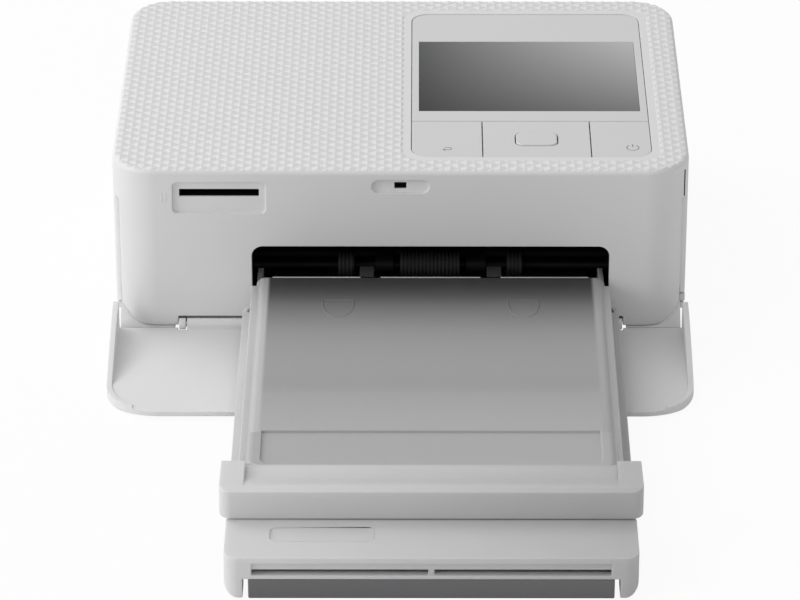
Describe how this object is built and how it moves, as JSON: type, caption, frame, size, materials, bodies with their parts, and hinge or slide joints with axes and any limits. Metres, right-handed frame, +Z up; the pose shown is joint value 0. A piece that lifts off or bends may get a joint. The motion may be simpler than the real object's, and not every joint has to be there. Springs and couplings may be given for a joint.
{
  "type": "compact photo printer",
  "caption": "Compact dye-transfer photo printer with its front cover open, display and keys on top, and a sliding-lid paper cassette in place.",
  "frame": {"origin": "on the table, under the middle of the whole object from the rear wall to the front of the cassette", "axes": "+X to the viewer's right, +Y from the cassette to the rear wall, +Z up from the table"},
  "size_m": [0.1826, 0.29, 0.0578],
  "materials": {
    "casing": "fine satin, white",
    "panel": "satin, a shade darker than the casing",
    "keys": "satin white",
    "dark_plastic": "black, matte",
    "rubber": "black",
    "steel": "plated",
    "display_glass": "dark, glossy",
    "display_frame": "dull",
    "board": "green solder mask",
    "cassette_plastic": "milky, light comes through",
    "grey_plastic": "grey",
    "paper": "glossy white card",
    "gears": "natural acetal",
    "brass": "plain",
    "ribbon_film": "dark dye film",
    "head_metal": "cast and ground"
  },
  "bodies": {
    "printer": {"lower_case": "casing", "top_cover": "casing", "front_panel": "casing", "left_side_cover": "casing", "right_side_cover": "casing", "feet": "rubber", "case_screws": "steel", "control_panel": "panel", "lcd_glass": "display_glass", "lcd_module": "display_frame", "panel_board": "board", "main_board": "board", "card_reader": "steel", "dc_inlet": "dark_plastic", "usb_port": "steel", "chassis": "steel", "feed_frame": "dark_plastic", "idler_pins": "steel", "cartridge_rails": "dark_plastic", "ribbon_cartridge": "grey_plastic", "ribbon": "ribbon_film", "rear_guide": "dark_plastic", "drive_motor": "steel", "fan_frame": "dark_plastic", "cover_hinge_pins": "steel", "door_pin": "steel", "catch_plate": "dark_plastic"},
    "front_cover": {"front_cover": "casing"},
    "ink_door": {"ink_door": "casing"},
    "cassette": {"cassette_base": "cassette_plastic", "cassette_bar": "grey_plastic"},
    "cassette_cover": {"cassette_cover": "cassette_plastic"},
    "lift_plate": {"lift_plate": "grey_plastic", "paper_stack": "paper"},
    "pickup": {"pickup_shaft": "steel", "pickup_rollers": "rubber", "pickup_gear": "gears"},
    "platen": {"platen_shaft": "steel", "platen_roller": "rubber", "platen_gear": "gears"},
    "grip_roller": {"grip_roller": "steel", "grip_gear": "gears"},
    "pinch_roller": {"pinch_roller": "rubber"},
    "feed_idler": {"feed_idler": "gears"},
    "transfer_idler": {"transfer_idler": "gears"},
    "front_idler": {"front_idler": "gears"},
    "middle_idler": {"middle_idler": "gears"},
    "motor_pinion": {"motor_pinion": "brass"},
    "take_up": {"take_up_spool": "ribbon_film", "take_up_gear": "gears"},
    "supply_spool": {"supply_spool": "ribbon_film"},
    "thermal_head": {"thermal_head": "head_metal", "head_bracket": "steel"},
    "fan_rotor": {"fan_rotor": "dark_plastic"},
    "menu_back_key": {"menu_back_key": "keys"},
    "nav_gimbal": {"nav_gimbal": "dark_plastic"},
    "nav_key": {"nav_key": "keys"},
    "ok_key": {"ok_key": "keys"},
    "power_key": {"power_key": "keys"}
  },
  "joints": [
    {"name": "front_cover_hinge", "type": "hinge", "parent": "printer", "child": "front_cover", "pos_m": [0, 0.0139, 0.0039], "axis": [-1, 0, 0], "range_deg": [0, 4.4]},
    {"name": "ink_door_hinge", "type": "hinge", "parent": "printer", "child": "ink_door", "pos_m": [0.09, 0.11505, 0], "axis": [0, 0, 1], "range_deg": [0, 85]},
    {"name": "cassette_slide", "type": "slide", "parent": "printer", "child": "cassette", "axis": [0, -1, 0], "range_m": [0, 0.1]},
    {"name": "cassette_cover_slide", "type": "slide", "parent": "cassette", "child": "cassette_cover", "axis": [0, -1, 0], "range_m": [0, 0.0205]},
    {"name": "lift_plate_hinge", "type": "hinge", "parent": "cassette", "child": "lift_plate", "pos_m": [0.0095, -0.112, 0.0089], "axis": [1, 0, 0], "range_deg": [0, 0.45]},
    {"name": "platen_spin", "type": "hinge", "parent": "printer", "child": "platen", "pos_m": [0.0095, 0.0825, 0.017], "axis": [1, 0, 0], "continuous": true},
    {"name": "feed_idler_spin", "type": "hinge", "parent": "printer", "child": "feed_idler", "pos_m": [-0.0806, 0.0985, 0.017], "axis": [1, 0, 0], "continuous": true},
    {"name": "grip_spin", "type": "hinge", "parent": "printer", "child": "grip_roller", "pos_m": [0.0095, 0.1125, 0.017], "axis": [1, 0, 0], "continuous": true},
    {"name": "pinch_spin", "type": "hinge", "parent": "printer", "child": "pinch_roller", "pos_m": [0.0095, 0.1125, 0.0241], "axis": [1, 0, 0], "continuous": true},
    {"name": "transfer_idler_spin", "type": "hinge", "parent": "printer", "child": "transfer_idler", "pos_m": [-0.0806, 0.08656, 0.03248], "axis": [1, 0, 0], "continuous": true},
    {"name": "take_up_spin", "type": "hinge", "parent": "printer", "child": "take_up", "pos_m": [0.0095, 0.10236, 0.035], "axis": [1, 0, 0], "continuous": true},
    {"name": "supply_spin", "type": "hinge", "parent": "printer", "child": "supply_spool", "pos_m": [0.0095, 0.0645, 0.035], "axis": [1, 0, 0], "continuous": true},
    {"name": "middle_idler_spin", "type": "hinge", "parent": "printer", "child": "middle_idler", "pos_m": [-0.0806, 0.0633, 0.017], "axis": [1, 0, 0], "continuous": true},
    {"name": "front_idler_spin", "type": "hinge", "parent": "printer", "child": "front_idler", "pos_m": [-0.0806, 0.04496, 0.02114], "axis": [1, 0, 0], "continuous": true},
    {"name": "pickup_spin", "type": "hinge", "parent": "printer", "child": "pickup", "pos_m": [0.0095, 0.0281, 0.01775], "axis": [1, 0, 0], "continuous": true},
    {"name": "motor_spin", "type": "hinge", "parent": "printer", "child": "motor_pinion", "pos_m": [-0.0806, 0.0633, 0.0314], "axis": [1, 0, 0], "continuous": true},
    {"name": "fan_spin", "type": "hinge", "parent": "printer", "child": "fan_rotor", "pos_m": [-0.063, 0.145, 0.033], "axis": [0, 1, 0], "continuous": true},
    {"name": "thermal_head_hinge", "type": "hinge", "parent": "printer", "child": "thermal_head", "pos_m": [0.0095, 0.0925, 0.049], "axis": [1, 0, 0], "range_deg": [0, 2.4], "stiffness_Nm_per_rad": 0.5, "springref_deg": -5.73},
    {"name": "menu_back_rock", "type": "hinge", "parent": "printer", "child": "menu_back_key", "pos_m": [0.01465, 0.03835, 0.05555], "axis": [1, 0, 0], "range_deg": [-2.5, 2.5], "stiffness_Nm_per_rad": 0.02},
    {"name": "nav_rock_front_back", "type": "hinge", "parent": "printer", "child": "nav_gimbal", "pos_m": [0.04315, 0.03835, 0.0555], "axis": [1, 0, 0], "range_deg": [-1.5, 1.5], "stiffness_Nm_per_rad": 0.02},
    {"name": "nav_rock_left_right", "type": "hinge", "parent": "nav_gimbal", "child": "nav_key", "pos_m": [0.04315, 0.03835, 0.05616], "axis": [0, 1, 0], "range_deg": [-1.5, 1.5], "stiffness_Nm_per_rad": 0.02},
    {"name": "ok_press", "type": "slide", "parent": "printer", "child": "ok_key", "axis": [0, 0, -1], "range_m": [0, 0.0007], "stiffness_N_per_m": 300, "springref_m": -0.0005},
    {"name": "power_press", "type": "slide", "parent": "printer", "child": "power_key", "axis": [0, 0, -1], "range_m": [0, 0.0007], "stiffness_N_per_m": 300, "springref_m": -0.0005}
  ],
  "couplings": [
    {"joint": "feed_idler_spin", "follows": "platen_spin", "ratio": -1.5},
    {"joint": "grip_spin", "follows": "platen_spin", "ratio": 1.2632},
    {"joint": "pinch_spin", "follows": "platen_spin", "ratio": -1.6842},
    {"joint": "transfer_idler_spin", "follows": "platen_spin", "ratio": -1.5},
    {"joint": "take_up_spin", "follows": "platen_spin", "ratio": 1},
    {"joint": "supply_spin", "follows": "platen_spin", "ratio": 0.73684},
    {"joint": "middle_idler_spin", "follows": "platen_spin", "ratio": -1},
    {"joint": "front_idler_spin", "follows": "platen_spin", "ratio": 1.0435},
    {"joint": "pickup_spin", "follows": "platen_spin", "ratio": -1.2},
    {"joint": "motor_spin", "follows": "platen_spin", "ratio": 2}
  ]
}
